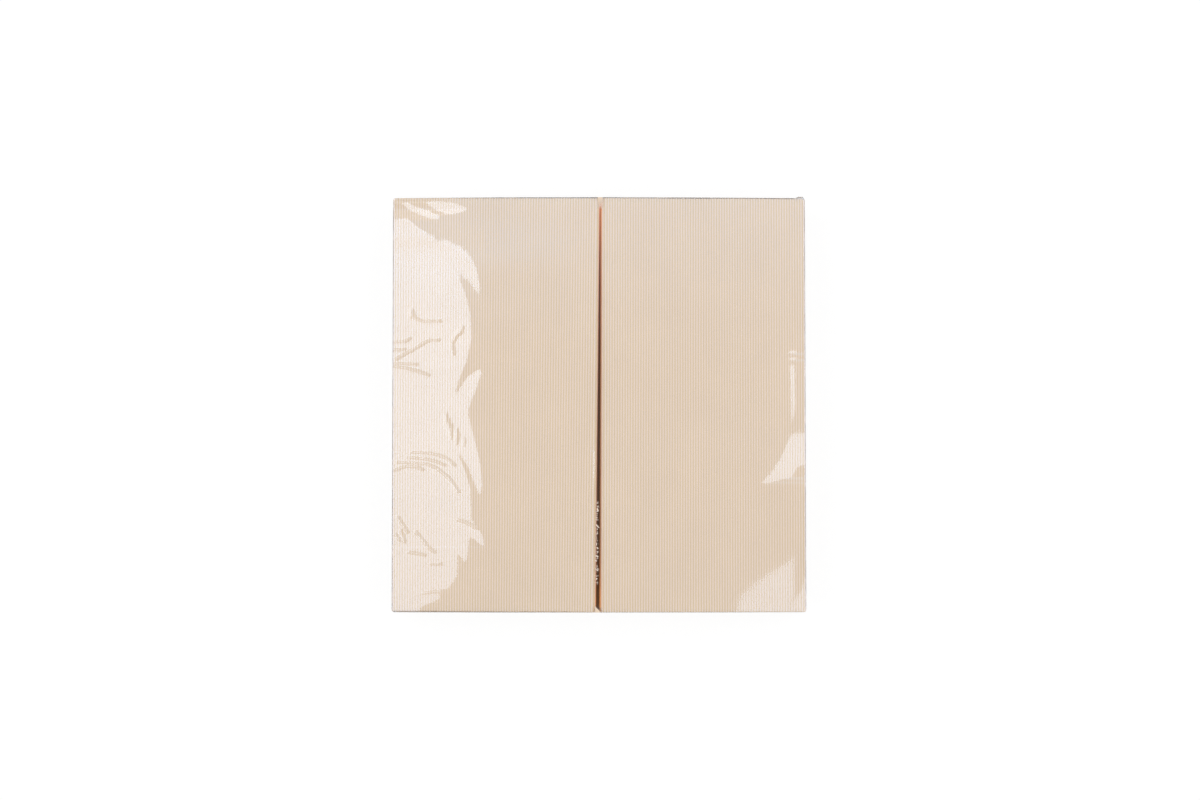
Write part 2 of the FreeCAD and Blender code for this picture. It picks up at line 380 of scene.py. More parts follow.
def film_top_heights():
    x, y = np.meshgrid(top_x, top_y, indexing="ij")
    left_share = shine(x, y, LEFT_SHINES)
    right_share = shine(x, y, RIGHT_SHINES)
    on_left = top_x < 0
    left = side_heights(-x[on_left][::-1], y, left_share[on_left][::-1], LEFT_SHINE_START, LEFT_LAMP_X[1])
    right = side_heights(x[~on_left], y, right_share[~on_left], RIGHT_SHINE_START, RIGHT_LAMP_X[0])
    heights = np.concatenate([left[::-1], right])
    heights -= GAP_DIP * (1 - smooth_step(np.abs(x), 0, GAP_DIP_REACH))
    heights += crease_height(x, y, CREASES_PX, CREASE_HEIGHT, CREASE_HALF_WIDTH)
    heights += crease_height(x, y, GAP_STREAK_PX, GAP_STREAK_HEIGHT, GAP_STREAK_HALF_WIDTH)
    return np.maximum(heights, paper_plane(x) - LOWEST_UNDER_PAPER)


top_heights = film_top_heights()
over_paper = top_heights - paper_plane(top_x)[:, None]
print("film over the flat paper, mm:", np.round(over_paper.min(), 2), "to", np.round(over_paper.max(), 2))


def film_over(x, y):
    """Height of the film's top at any place, read between the stations of the grid."""
    column = np.clip(np.searchsorted(top_x, x) - 1, 0, len(top_x) - 2)
    row = np.clip(np.searchsorted(top_y, y) - 1, 0, len(top_y) - 2)
    along_x = np.clip((x - top_x[column]) / (top_x[column + 1] - top_x[column]), 0, 1)
    along_y = np.clip((y - top_y[row]) / (top_y[row + 1] - top_y[row]), 0, 1)
    near = top_heights[column, row] * (1 - along_y) + top_heights[column, row + 1] * along_y
    far = top_heights[column + 1, row] * (1 - along_y) + top_heights[column + 1, row + 1] * along_y
    return near * (1 - along_x) + far * along_x


# %% [markdown]
# ## Shader sums in Python
#
# A node tree for a formula is hard to read. The class below wraps a socket, so that
# a formula in Python adds its own Math nodes. One method adds any other node.

# %% Shader helpers


class Sum:
    """A socket that can stand in a Python expression; every operator adds a Math node."""

    def __init__(self, tree, socket):
        self.tree = tree
        self.socket = socket

    def math(self, operation, *values):
        return self.tree.node("ShaderNodeMath", dict(enumerate(values)), operation=operation)[0]

    def __add__(self, other):
        return self.math("ADD", self, other)

    __radd__ = __add__

    def __sub__(self, other):
        return self.math("SUBTRACT", self, other)

    def __rsub__(self, other):
        return self.math("SUBTRACT", other, self)

    def __mul__(self, other):
        return self.math("MULTIPLY", self, other)

    __rmul__ = __mul__

    def __truediv__(self, other):
        return self.math("DIVIDE", self, other)

    def __pow__(self, other):
        return self.math("POWER", self, other)

    def __rpow__(self, other):
        return self.math("POWER", other, self)

    def sine(self):
        return self.math("SINE", self)

    def size(self):
        return self.math("ABSOLUTE", self)


class Tree:
    """A node tree, with one method that adds a node of any kind."""

    def __init__(self, node_tree):
        self.nodes = node_tree.nodes
        self.links = node_tree.links

    def node(self, kind, inputs=None, **settings):
        """Adds a node and returns its outputs, by number and by name."""
        node = self.nodes.new(kind)
        for name, value in settings.items():
            setattr(node, name, value)
        for name, value in (inputs or {}).items():
            if isinstance(value, Sum):
                self.links.new(value.socket, node.inputs[name])
            else:
                node.inputs[name].default_value = value
        outputs = {place: Sum(self, socket) for place, socket in enumerate(node.outputs)}
        outputs.update({socket.name: Sum(self, socket) for socket in node.outputs if socket.enabled})
        return outputs

    def mix_colours(self, factor, first, second):
        return self.node("ShaderNodeMix", {0: factor, 6: first, 7: second}, data_type="RGBA")[2]

    def noise(self, vector, scale, detail=2.0):
        return self.node("ShaderNodeTexNoise", {"Vector": vector, "Scale": scale, "Detail": detail})["Fac"]


def new_material(name):
    material = bpy.data.materials.new(name)
    material.use_nodes = True
    material.node_tree.nodes.clear()
    return material, Tree(material.node_tree)


# %% [markdown]
# ## The paper
#
# The napkins are soft, uncoated paper in warm beige. Embossed pinstripes run along
# the book: a pinkish, lighter thread and a yellower furrow, about 1.3 mm from one to
# the next. The stripes must follow the sheet round its folds, so they read the
# sheet's own UV map, whose first number runs across the stripes. The fibres are the
# same all over, so they read the object's coordinates. In the gap the folds get a
# deeper brown: painted shade, standing for the light that comes out there after
# passing through paper. More of that light comes through near the two ends, which a
# faint orange glow stands for: painted light.

# %% Paper material
SHEET_SIDE = 400.0
STRIPE_PITCH = 1.29
STRIPE_WOBBLE = 0.25
WOBBLE_SCALE = 90.0
CLOUD_SCALE = 38.0
FIBRE_SCALE = (2600, 700, 2600)
DARKEST_VALUE = 0.94
CLOUD_VALUE = 0.08
FIBRE_VALUE = 0.04
RIB_SHADING = 0.00005
THREAD_COLOUR = (0.910, 0.760, 0.695, 1)
FURROW_COLOUR = (0.785, 0.605, 0.375, 1)
# Painted shade and painted light in the gap: a deeper brown base colour and an orange emission.
GAP_PAINTED_SHADE_COLOUR = (0.86, 0.53, 0.31, 1)
GAP_REACH = 4.0
GAP_END_MARGIN = 0.3
GAP_BOTTOM = 2.0
GAP_TOP = 0.2
GAP_DEPTH = 1.8
GAP_PAINTED_LIGHT = (0.175, 0.095, 0.016, 1)
PAINTED_LIGHT_FROM_BACK = 31.0
PAINTED_LIGHT_FROM_FRONT = 11.0


def paper_material():
    material, tree = new_material("napkin_paper")
    spot = tree.node("ShaderNodeTexCoord")
    across = tree.node("ShaderNodeSeparateXYZ", {0: spot["UV"]})[0] * SHEET_SIDE
    place = spot["Object"]
    wobble = tree.noise(place, WOBBLE_SCALE)
    wave = ((across + (wobble - 0.5) * STRIPE_WOBBLE) * (2 * math.pi / STRIPE_PITCH)).sine()
    thread = wave * 0.5 + 0.5
    cloud = tree.noise(place, CLOUD_SCALE, 4.0)
    stretch = tree.node("ShaderNodeMapping", {"Vector": place, "Scale": FIBRE_SCALE})[0]
    fibre = tree.noise(stretch, 1.0, 3.0)
    stripe = tree.mix_colours(thread, FURROW_COLOUR, THREAD_COLOUR)
    clouded = tree.node("ShaderNodeHueSaturation", {
        "Color": stripe,
        "Value": DARKEST_VALUE + cloud * CLOUD_VALUE + fibre * FIBRE_VALUE,
    })
    parts = tree.node("ShaderNodeSeparateXYZ", {0: place})
    half = BOOK_LENGTH / 2
    at_gap = parts[0].math("LESS_THAN", parts[0].size(), GAP_REACH * MM)
    at_gap = at_gap * parts[1].math("LESS_THAN", parts[1].size(), (half - GAP_END_MARGIN) * MM)
    at_gap = at_gap * parts[2].math("GREATER_THAN", parts[2], (BASE + GAP_BOTTOM) * MM)
    under = tree.node("ShaderNodeMapRange", {
        "Value": parts[2],
        "From Min": (top_high[2] - GAP_TOP) * MM,
        "From Max": (top_high[2] - GAP_TOP - GAP_DEPTH) * MM,
    })[0]
    # Painted shade: the folds in the gap get a deeper brown base colour.
    coloured = tree.mix_colours(at_gap * under, clouded["Color"], GAP_PAINTED_SHADE_COLOUR)
    # Painted light: an orange emission in the gap, strongest near the two ends.
    along = parts[1] / (half * MM)
    from_back = (1 - along) * (half / PAINTED_LIGHT_FROM_BACK)
    from_front = (1 + along) * (half / PAINTED_LIGHT_FROM_FRONT)
    painted_light_at_ends = math.exp(-1) ** from_back + math.exp(-1) ** from_front
    glow = tree.mix_colours(at_gap * under * painted_light_at_ends, (0, 0, 0, 1), GAP_PAINTED_LIGHT)
    height = thread * 0.6 + fibre * 0.5
    bump = tree.node("ShaderNodeBump", {"Strength": 0.5, "Distance": RIB_SHADING, "Height": height})
    paper = tree.node("ShaderNodeBsdfPrincipled", {
        "Base Color": coloured,
        "Roughness": 0.92,
        "Specular IOR Level": 0.25,
        "Emission Color": glow,
        "Emission Strength": 1.0,
        "Normal": bump["Normal"],
    })
    tree.node("ShaderNodeOutputMaterial", {"Surface": paper["BSDF"]})
    return material


paper = paper_material()

# %% [markdown]
# ## A folded napkin
#
# A napkin is a square sheet folded three times. The first fold makes a double sheet
# that is closed at the back. The second and third bend this double sheet round the
# hem and the book fold. So the mesh is a hairpin outline, seen from the side, that
# is swept along the path of the hem and the book fold, seen from the end.
#
# The path has four level runs and three half turns. It is counted in layers: the
# double sheets lie 1, 3, 5 and 7 layers above the napkin below. The face between
# two napkins of a stack waves a little, and both napkins follow the same wave.

# %% Path of the folds
LAYERS = 8
BOOK_TURN_STEPS = 14
LEAF_TURN_STEPS = 8
HEM_TURN_STEPS = 8


def path_stations(cover_steps, run_steps, hem_reach, fold_reach, roundness):
    """The stations of the path that the outline is swept along.

    A station holds the place across, the level in layers, how far a turn reaches across
    and up in layers, the two parts of the outward direction, and the length so far.
    """
    layer = (HEIGHT_AT_FOLD + HEIGHT_AT_HEM) / 2 / LAYERS
    hem, fold = HEM_BEND - hem_reach, BOOK_BEND + fold_reach
    stations = []

    def run(start, end, level, out, steps):
        for across in np.linspace(start, end, steps):
            stations.append((across, level, 0, 0, 0, out))

    def turn(across, level, reach, first, last, out, steps, power=1.0):
        for angle in np.radians(np.linspace(first, last, steps + 2)[1:-1]):
            cos, sin = math.cos(angle), math.sin(angle)
            side = math.copysign(abs(cos) ** power, cos)
            rise = math.copysign(abs(sin) ** power, sin)
            out_side = math.copysign(abs(cos) ** (2 - power), cos)
            out_rise = math.copysign(abs(sin) ** (2 - power), sin)
            size = math.hypot(out_side, out_rise) * out
            stations.append((across, level, reach * side, reach * rise, out_side / size, out_rise / size))

    run(COVER_SETBACK - hem_reach, fold, 7, 1, cover_steps)
    turn(fold, 4, 3, 90, -90, 1, BOOK_TURN_STEPS, roundness)
    run(fold, hem, 1, -1, run_steps)
    turn(hem, 2, 1, -90, -270, 1, HEM_TURN_STEPS)
    run(hem, fold, 3, 1, run_steps)
    turn(fold, 4, 1, -90, 90, -1, LEAF_TURN_STEPS)
    run(fold, LEAF_SETBACK - hem_reach, 5, -1, run_steps)
    across, level, side, rise, out_side, out_rise = np.array(stations).T
    x = across + side * layer
    z = (level + rise) * layer
    length = np.concatenate([[0], np.cumsum(np.hypot(np.diff(x), np.diff(z)))])
    return across, level, side, rise, out_side, out_rise, length


def waves(x, y, seed, size):
    """A smooth, gentle waving of a paper face, at most about size up or down."""
    random = np.random.default_rng(seed)
    total = 0
    for count in range(4):
        turn = random.uniform(0, math.pi)
        wave_length = random.uniform(45, 120)
        along = x * math.cos(turn) + y * math.sin(turn)
        total = total + np.sin(2 * math.pi * along / wave_length + random.uniform(0, 2 * math.pi))
    return total * size / 4


# %% [markdown]
# The hairpin has an outside and an inside. The outside runs along the upper sheet to
# the back, round the nose and home along the lower sheet. The inside is the narrow
# slit between the two sheets. The free edges at the front don't end in one line, as
# the layers of a folded sheet never do. At both ends of the path, quads between the
# outside and the inside close the sheet.

# %% Sweep the hairpin along the path
SLIT_HALF = 0.035
NOSE_LENGTH = 0.5
NOSE_STEPS = 4
EDGE_SUPPORTS = (0.3, 0.7, 1.2, 2.0)
END_REACH = 1.75
FOLD_REACH = 0.1
PRESSED_DEPTH = 0.5
PRESSED_WIDTH = 1.1
SHEET_FILL = 0.94
FACE_WAVE = 0.10
SHEET_SHIFT = 0.12
EDGE_STRAY = 0.12
STRAY_REACH = 12.0
STRAY_LONG = 31.0
STRAY_SHORT = 9.5


def hairpin(steps):
    """Side outline of a double sheet: place along the book, share of its half height, extra height."""
    front = -BOOK_LENGTH / 2 - END_REACH
    back = BOOK_LENGTH / 2 + END_REACH - NOSE_LENGTH
    supports = np.array((0,) + EDGE_SUPPORTS)
    between = np.linspace(front, back, steps)[1:-1]
    run = np.concatenate([front + supports, between, back - supports[::-1]])
    nose = np.radians(np.linspace(90, -90, NOSE_STEPS + 2)[1:-1])
    outside = [(y, 1, 0) for y in run]
    outside += [(back + NOSE_LENGTH * math.cos(a), math.sin(a), 0) for a in nose]
    outside += [(y, -1, 0) for y in run[::-1]]
    inside = [(y, 0, -SLIT_HALF) for y in run]
    inside += [(back, 0, SLIT_HALF * math.sin(-a)) for a in nose]
    inside += [(y, 0, SLIT_HALF) for y in run[::-1]]
    return np.array(outside + inside)


def face_height(across, y, place):
    """Height of the face under a napkin, place 0 being the lowest."""
    share = (across - HEM_BEND) / (BOOK_BEND - HEM_BEND)
    flat = BASE + place * (HEIGHT_AT_HEM + (HEIGHT_AT_FOLD - HEIGHT_AT_HEM) * share)
    if place == 0:
        return flat + 0 * y
    return flat + waves(across, y, 40 + place, FACE_WAVE)


def folded_napkin(place, cover_steps, run_steps, book_steps, stack):
    """Points, faces and UV pairs of one napkin, with its hem at zero across."""
    on_top = place == NAPKINS - 1
    fold_reach = FOLD_REACH + (0 if on_top else stack["lower_reach"])
    path = path_stations(cover_steps, run_steps, stack["hem_reach"], fold_reach, stack["roundness"])
    across, level, side, rise, out_side, out_rise = (values[:, None] for values in path[:-1])
    length = path[-1]
    y, share, extra = hairpin(book_steps).T
    y = y[None, :]
    low = face_height(across, y, place)
    high = face_height(across, y, place + 1)
    if on_top:
        spots = stack["placing"](np.stack(np.broadcast_arrays(across, y, 0), axis=-1).reshape(-1, 3))
        film_height = film_over(spots[:, 0], spots[:, 1]).reshape(high.shape)
        to_end = BOOK_LENGTH / 2 + END_REACH - np.abs(y)
        pressed = PRESSED_DEPTH * np.exp(-((to_end / PRESSED_WIDTH) ** 2))
        high = np.minimum(high, film_height - UNDER_FILM) - pressed
    layer = (high - low) / LAYERS
    half = layer * SHEET_FILL
    offset = share[None, :] * half + extra[None, :]
    x = across + side * layer + out_side * offset
    z = low + (level + rise) * layer + out_rise * offset
    random = np.random.default_rng(stack["seed"] + place)
    upper = np.where(share[None, :] + extra[None, :] > 0, 1, 0)
    path_length = length[:, None]
    stray = np.sin(path_length / STRAY_LONG + random.uniform(0, 6) + 2.1 * upper)
    stray = stray + 0.6 * np.sin(path_length / STRAY_SHORT + random.uniform(0, 6) + 1.3 * upper)
    near_front = np.clip(1 - (y + BOOK_LENGTH / 2) / STRAY_REACH, 0, 1)
    y = y + random.uniform(-SHEET_SHIFT, SHEET_SHIFT) + near_front * EDGE_STRAY * (stray + 1.6)
    y = y + 0 * x
    x = x - stack["straighten"] * (y + BOOK_LENGTH / 2) * (1 - x / BOOK_WIDTH)
    x = x + (stack["fold_shift"] + stack["fold_slant"] * y) * x / BOOK_WIDTH
    points = np.stack([x, y, z], axis=-1)
    rows, columns = x.shape
    quads = grid_quads(rows, columns, ring=True).tolist()
    pairs = columns // 2
    for end in (0, rows - 1):
        for place_in in range(pairs - 1):
            first = end * columns + place_in
            mate = end * columns + columns - 1 - place_in
            quads.append([first, first + 1, mate - 1, mate])
    uv_along = (y - y.min()) / (2 * BOOK_LENGTH)
    uv_along = np.where(upper == 1, uv_along, 1 - uv_along)
    uv_across = path_length / SHEET_SIDE + 0 * x
    uv = np.stack([uv_across, uv_along], axis=-1).reshape(-1, 2)
    return points.reshape(-1, 3), quads, uv


def into_left_stack(points):
    """Hem to the left, then turned a little about the stack's middle, as in the frame."""
    placed = points - [BOOK_WIDTH + GAP / 2, 0, 0]
    middle = -(BOOK_WIDTH + GAP) / 2
    x, y = placed[:, 0] - middle, placed[:, 1]
    cos, sin = math.cos(-LEFT_STACK_TURN), math.sin(-LEFT_STACK_TURN)
    return np.stack([middle + x * cos - y * sin, x * sin + y * cos, placed[:, 2]], axis=-1)


def into_right_stack(points):
    """The left stack turned half round."""
    return (points - [BOOK_WIDTH + GAP / 2, 0, 0]) * [-1, -1, 1]


# %% [markdown]
# The two stacks differ a little. A stack's record says how far its hems reach, how
# round its folds are, by how much the sheets are straightened at the hem, how far the
# lower folds stand out into the gap, and how the folds shift and slant along the gap.
# The two napkins on top need more points, because their stripes are real ribs.

# %% Fold all napkins
RIB_SAMPLES = 6
# Steps across the cover, across each inner leaf and along the book.
TOP_NAPKIN_STEPS = (int(BOOK_WIDTH / STRIPE_PITCH * RIB_SAMPLES), 40, 14)
NAPKIN_STEPS = (34, 34, 8)
STACKS = {
    "left": {
        "placing": into_left_stack, "seed": 100, "hem_reach": 0.15, "roundness": 0.5,
        "straighten": math.tan(LEFT_STACK_TURN), "lower_reach": 0.3,
        "fold_shift": -0.02, "fold_slant": 0.0050,
    },
    "right": {
        "placing": into_right_stack, "seed": 300, "hem_reach": 0.68, "roundness": 0.85,
        "straighten": 0, "lower_reach": 0.49,
        "fold_shift": -0.15, "fold_slant": 0.0022,
    },
}

napkins = []
for side, stack in STACKS.items():
    for number in range(1, NAPKINS + 1):
        steps = TOP_NAPKIN_STEPS if number == NAPKINS else NAPKIN_STEPS
        points, quads, uv = folded_napkin(number - 1, *steps, stack)
        napkin = mesh_object(f"paper_{side}_{number:02d}", stack["placing"](points), quads, uv)
        napkin.data.materials.append(paper)
        napkins.append((napkin, side, number))
print("napkins:", len(napkins), "triangles:", sum(triangles(napkin) for napkin, _, _ in napkins))

# %% [markdown]
# ## Embossed ribs
#
# The pinstripes are pressed into the paper, so on the two napkins that face the
# camera they are real ribs. They repeat by a rule, which suits Geometry Nodes: the
# tree moves each point along its normal by a wave over the sheet's UV map. Rib depth
# and pitch are inputs of the tree, and a modifier sets them by their identifiers. The
# Math nodes are the same as in a material, so the class for sums serves here too.

# %% Rib tree


def new_group(name, *numbers):
    """A Geometry Nodes tree that takes geometry and named numbers."""
    group = bpy.data.node_groups.new(name, "GeometryNodeTree")
    group.interface.new_socket("Geometry", in_out="INPUT", socket_type="NodeSocketGeometry")
    for number in numbers:
        group.interface.new_socket(number, in_out="INPUT", socket_type="NodeSocketFloat")
    group.interface.new_socket("Geometry", in_out="OUTPUT", socket_type="NodeSocketGeometry")
    tree = Tree(group)
    return group, tree, tree.node("NodeGroupInput")


def end_group(tree, geometry, material):
    """Ends a tree with real geometry in its material."""
    real = tree.node("GeometryNodeRealizeInstances", {"Geometry": geometry})[0]
    dressed = tree.node("GeometryNodeSetMaterial", {"Geometry": real, "Material": material})
    tree.node("NodeGroupOutput", {0: dressed[0]})


def rib_tree(material):
    group, tree, given = new_group("embossed_ribs", "Sheet side", "Pitch", "Depth")
    sheet = tree.node("GeometryNodeInputNamedAttribute", {"Name": "UVMap"}, data_type="FLOAT_VECTOR")
    across = tree.node("ShaderNodeSeparateXYZ", {0: sheet["Attribute"]})[0]
    wave = (across * given["Sheet side"] * (2 * math.pi) / given["Pitch"]).sine()
    lift = wave * given["Depth"]
    normal = tree.node("GeometryNodeInputNormal")[0]
    offset = tree.node("ShaderNodeVectorMath", {0: normal, "Scale": lift}, operation="SCALE")[0]
    moved = {"Geometry": given["Geometry"], "Offset": offset}
    end_group(tree, tree.node("GeometryNodeSetPosition", moved)[0], material)
    return group


def plain(obj):
    """Replaces an object's mesh by what its modifiers make of it."""
    graph = bpy.context.evaluated_depsgraph_get()
    mesh = bpy.data.meshes.new_from_object(obj.evaluated_get(graph))
    obj.modifiers.clear()
    mesh.name = obj.name
    obj.data = mesh


def run_tree(obj, group, values):
    """Puts the object through a Geometry Nodes tree and keeps the result as a plain mesh."""
    modifier = obj.modifiers.new(group.name, "NODES")
    modifier.node_group = group
    inputs = [item for item in group.interface.items_tree if item.in_out == "INPUT"]
    identifiers = {item.name: item.identifier for item in inputs}
    for name, value in values.items():
        modifier[identifiers[name]] = value
    plain(obj)
    obj.data.shade_smooth()


RIB_DEPTH = 0.035
ribs = rib_tree(paper)
rib_sizes = {"Sheet side": SHEET_SIDE, "Pitch": STRIPE_PITCH, "Depth": RIB_DEPTH * MM}
for napkin, side, number in napkins:
    if number == NAPKINS:
        run_tree(napkin, ribs, rib_sizes)
        print(napkin.name, "triangles:", triangles(napkin))

# %% [markdown]
# ## The film as one closed skin
#
# The grid of the top goes on over the edges and down the walls to the seal, which
# runs round halfway up. A point that lies k rows outside the top belongs to the
# k-th turn round the pack, so the corners need no extra faces. Below the seal the
# turns go on to the underside, which is one flat face.

# %% Skin of the film
EDGE_STEPS = 3
WALL_STEPS = 3
LOWER_STEPS = 2
TURN_SPACING = 0.55
CORNER_RADIUS = 1.4
SEAL_HEIGHT = 19.1
CORNER_EAR = 0.7
EAR_START = 97.3
SEAL_BULGE = {"front": 0.35, "back": 1.6}
SIDE_BULGE = 0.15
SIDE_CRUMPLE = 0.1
TURNS = EDGE_STEPS + WALL_STEPS


def seal_bulge(x, end):
    """How far a sealed end stands out, with its puckers; the front one is pressed flat."""
    middle = 1 - np.clip(x / SIDE_BEND, -1, 1) ** 2
    puckers = np.sin(x * 0.52 + 1.1 * np.sin(x * 0.13)) + 0.5 * np.sin(x * 1.17 + 0.8)
    notch = np.exp(-((x / 3) ** 2))
    return SEAL_BULGE[end] * (middle + 0.1 * puckers * np.sqrt(middle) - 0.3 * notch)


def corner_ear(x, y):
    """The small ear that stands out at the back right corner."""
    along = smooth_step(x, EAR_START, EAR_START + 0.9) * (1 - smooth_step(x, SIDE_BEND - 0.8, SIDE_BEND))
    return CORNER_EAR * along * smooth_step(y, END_BEND - 1.5, END_BEND)


def place_on_turn(a, b, turn, out, bulge_share):
    """Where a grid point lies on a turn round the pack that is out from the top's border."""
    grown = turn * TURN_SPACING
    half_x, half_y = SIDE_BEND + out, END_BEND + out
    x = a * half_x / (SIDE_BEND + grown)
    y = b * half_y / (END_BEND + grown)
    inner_x, inner_y = half_x - CORNER_RADIUS, half_y - CORNER_RADIUS
    over_x = np.maximum(np.abs(x) - inner_x, 0)
    over_y = np.maximum(np.abs(y) - inner_y, 0)
    reach = np.maximum(over_x, over_y)
    norm = np.maximum(np.hypot(over_x, over_y), 1e-9)
    corner = (over_x > 0) & (over_y > 0)
    x = np.where(corner, np.sign(x) * (inner_x + over_x * reach / norm), x)
    y = np.where(corner, np.sign(y) * (inner_y + over_y * reach / norm), y)
    on_end = smooth_step(np.abs(y), inner_y - 1, half_y)
    bulge = np.where(y < 0, seal_bulge(x, "front"), seal_bulge(x, "back"))
    y = y + np.sign(y) * on_end * bulge_share * bulge + corner_ear(x, y)
    crumple = np.sin(y * 0.21 + 0.9 * np.sin(y * 0.07)) + 0.6 * np.sin(y * 0.57 + 2)
    on_side = smooth_step(np.abs(x), inner_x, half_x)
    x = x + np.sign(x) * on_side * bulge_share * (SIDE_BULGE + SIDE_CRUMPLE * crumple)
    return x, y


def with_turns(stations, bend):
    """Stations with the turns outside them on both sides, and the turn of each one."""
    numbers = np.arange(1, TURNS + 1)
    outside = bend + numbers * TURN_SPACING
    turns = np.concatenate([numbers[::-1], np.zeros(len(stations)), numbers])
    return np.concatenate([-outside[::-1], stations, outside]), turns


def film_skin():
    a, turn_a = with_turns(top_x, SIDE_BEND)
    b, turn_b = with_turns(top_y, END_BEND)
    turn = np.maximum(turn_a[:, None], turn_b[None, :])
    a_grid, b_grid = np.meshgrid(a, b, indexing="ij")
    angle = np.minimum(turn, EDGE_STEPS) / EDGE_STEPS * math.pi / 2
    wall_share = np.clip((turn - EDGE_STEPS) / WALL_STEPS, 0, 1)
    out = FILM_EDGE_RADIUS * np.sin(angle)
    x, y = place_on_turn(a_grid, b_grid, turn, out, wall_share)
    column = np.clip(np.arange(len(a)) - TURNS, 0, len(top_x) - 1)
    row = np.clip(np.arange(len(b)) - TURNS, 0, len(top_y) - 1)
    border = top_heights[np.ix_(column, row)]
    rounded = border - FILM_EDGE_RADIUS * (1 - np.cos(angle))
    z = rounded + (SEAL_HEIGHT - rounded) * wall_share
    points = [np.stack([x, y, z], axis=-1).reshape(-1, 3)]
    faces = grid_quads(len(a), len(b)).tolist()

    numbers = np.arange(len(a) * len(b)).reshape(len(a), len(b))
    loop = np.concatenate([numbers[:-1, 0], numbers[-1, :-1], numbers[:0:-1, -1], numbers[0, :0:-1]])
    loop_a, loop_b = a_grid.ravel()[loop], b_grid.ravel()[loop]
    previous = loop
    first_new = numbers.size
    radius = FILM_EDGE_RADIUS
    steps = [step / LOWER_STEPS for step in range(1, LOWER_STEPS + 1)]
    lower = [(radius, 1 - done, SEAL_HEIGHT * (1 - done) + radius * done) for done in steps]
    for angle in (done * math.pi / 2 for done in steps):
        lower.append((radius * math.cos(angle), 0, radius * (1 - math.sin(angle))))
    for out, share, height in lower:
        x, y = place_on_turn(loop_a, loop_b, TURNS, out, share)
        points.append(np.stack([x, y, np.full(x.shape, height)], axis=-1))
        ring = first_new + np.arange(len(loop))
        first_new += len(loop)
        after, after_before = np.roll(ring, -1), np.roll(previous, -1)
        faces.extend(np.stack([previous, after_before, after, ring], axis=-1).tolist())
        previous = ring
    faces.append(previous[::-1].tolist())
    return np.concatenate(points), faces


film_points, film_faces = film_skin()
film = mesh_object("film_skin", film_points, film_faces)
print("film skin triangles, one wall:", triangles(film))

# %% [markdown]
# The film has two faces, a twentieth of a millimetre apart. The Solidify modifier
# makes the inner one from the outer one. Each end also has a flat seam where the
# film was welded and trimmed. A seam follows a path, so a small Geometry Nodes tree
# runs a flat strip along the seal line.

# %% Give the film its gauge
solidify = film.modifiers.new("gauge", "SOLIDIFY")
solidify.thickness = FILM_GAUGE * MM
solidify.offset = -1
plain(film)

# %% Seam tree
SEAM_WIDTH = 0.8
SEAM_GAUGE = 0.1
SEAM_STATIONS = 90
EAR_REACH = 1.4
EAR_SWEEP = 1.1


def seam_tree(material):
    group, tree, given = new_group("end_seam", "Width", "Gauge")
    path = tree.node("GeometryNodeMeshToCurve", {"Mesh": given["Geometry"]})
    upright = tree.node("GeometryNodeSetCurveNormal", {"Curve": path["Curve"]}, mode="Z_UP")
    section = tree.node("GeometryNodeCurvePrimitiveQuadrilateral", {
        "Width": given["Width"],
        "Height": given["Gauge"],
    })
    strip = tree.node("GeometryNodeCurveToMesh", {
        "Curve": upright["Curve"],
        "Profile Curve": section["Curve"],
        "Fill Caps": True,
    })
    end_group(tree, strip["Mesh"], material)
    return group


# %% [markdown]
# ## Film material
#
# Clear film shows what is behind it and mirrors a little: about four hundredths of
# the light at each of its two faces, and more at a glancing view. A mix of a
# Transparent shader and a mirror-like Principled shader gives exactly that, with no
# refraction, because a film this thin doesn't bend the view. Layer Weight's facing
# value is the same from both sides of a face, which a thin film needs. Seen from
# above, the mirror's colour is a painted reflection: tinted a little blue, and deeper
# and dimmer towards the front of the pack.
#
# Along the front part of the gap, small pale specks are painted glints, standing for
# crinkled film that mirrors the lamp. Over the gap's two ends, where the film gathers,
# a paper-coloured patch is painted light. Both hide what is behind them, and a
# second mix adds them.

# %% Film material
FACE_MIRROR = 0.045
# Painted reflection colours of the mirror: blue, and dimmer towards the front.
REFLECTION_PAINTED_TINT = (0.68, 0.80, 0.95, 1)
REFLECTION_PAINTED_TINT_IN_FRONT = (0.50, 0.60, 0.74, 1)
# Painted glints on the specks, and painted light over the gap's two ends.
PAINTED_GLINT_COLOUR = (0.93, 0.80, 0.69, 1)
GAP_END_PAINTED_LIGHT_COLOUR = (0.84, 0.66, 0.49, 1)
SPECKS_FRONT, SPECKS_BACK = -89.0, -47.0
SPECKS_X_FRONT, SPECKS_X_BACK = -1.25, -0.7
SPECK_LIMIT = 0.485
SPECK_FALL = 0.22
SPECK_SHARPNESS = 25
SPECK_SHARE = 0.85
PAINTED_LIGHT_SHARE = 0.9
PAINTED_LIGHT_RISE = 12
GAP_END_FRONT, GAP_END_FRONT_X = -99.0, -0.7
GAP_END_BACK, GAP_END_BACK_X = 96.0, 0.6
GAP_END_HALF_WIDTH = 1.5
TINT_TURNS, TINT_LENGTH = -20.0, 75.0
RIPPLE_SCALE = (60, 170, 60)
SPECK_SCALE = 1000.0


